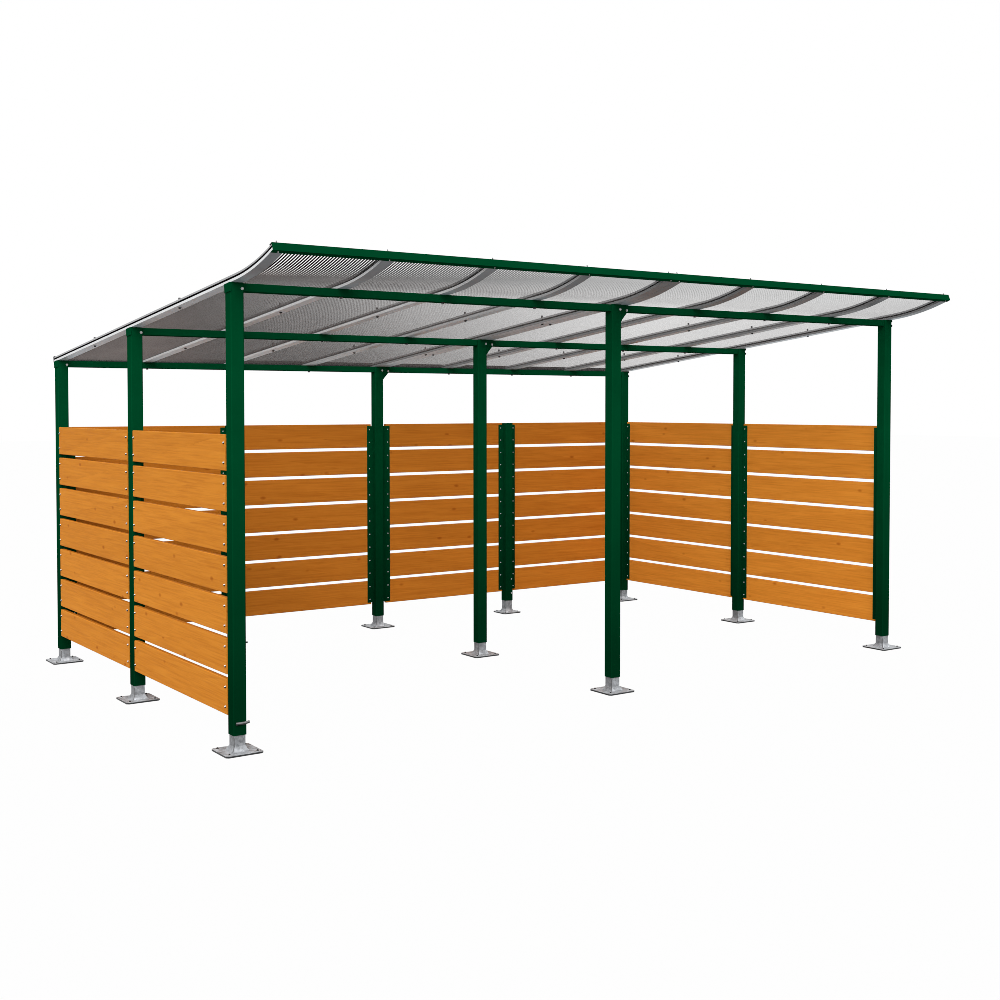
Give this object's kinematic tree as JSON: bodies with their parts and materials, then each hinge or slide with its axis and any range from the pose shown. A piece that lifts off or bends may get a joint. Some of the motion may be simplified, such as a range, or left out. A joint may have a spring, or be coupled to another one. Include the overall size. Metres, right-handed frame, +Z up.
{
  "type": "bike shelter",
  "caption": "Open-fronted bike shelter: steel posts on bolted feet, slatted timber walls on three sides and a sloping ribbed sheet roof with an upswept front edge.",
  "frame": {"origin": "middle of the shelter's footprint box, on the ground under the foot plates", "axes": "+X along the shelter to the right as seen from its open front, +Y from the open front to the back wall, +Z up"},
  "size_m": [5.13, 3.5088, 2.4889],
  "materials": {
    "green_paint": "satin powder coat, dark green",
    "galvanised_steel": "hot-dip galvanised",
    "aluminium": "plain mill finish",
    "dark_aluminium": "dark grey coated",
    "polycarbonate": "translucent twin-wall sheet",
    "timber": "stained and oiled softwood",
    "seal": "black rubber"
  },
  "bodies": {
    "root": {"back_angles": "green_paint", "back_boards_1": "timber", "back_boards_2": "timber", "back_boards_3": "timber", "back_boards_4": "timber", "back_trim": "dark_aluminium", "beam_brackets": "green_paint", "beams_back": "green_paint", "beams_front": "green_paint", "beams_middle": "green_paint", "caps_left": "aluminium", "caps_right": "aluminium", "edge_seals": "seal", "feet_back": "galvanised_steel", "feet_front": "galvanised_steel", "feet_middle": "galvanised_steel", "feet_short": "galvanised_steel", "front_fascia": "green_paint", "left_angles": "green_paint", "left_boards_front": "timber", "left_boards_rear": "timber", "post_back_centre": "green_paint", "post_back_left": "green_paint", "post_back_right": "green_paint", "post_front_centre": "green_paint", "post_front_left": "green_paint", "post_front_right": "green_paint", "post_middle_centre": "green_paint", "post_middle_left": "green_paint", "post_middle_right": "green_paint", "rafters_left": "aluminium", "rafters_right": "aluminium", "right_angles": "green_paint", "right_boards_front": "timber", "right_boards_rear": "timber", "roof_sheet_1": "polycarbonate", "roof_sheet_2": "polycarbonate", "roof_sheet_3": "polycarbonate", "roof_sheet_4": "polycarbonate", "roof_sheet_5": "polycarbonate", "roof_sheet_6": "polycarbonate", "roof_sheet_7": "polycarbonate", "roof_sheet_8": "polycarbonate", "short_post_left": "green_paint", "short_post_right": "green_paint"}
  },
  "joints": []
}
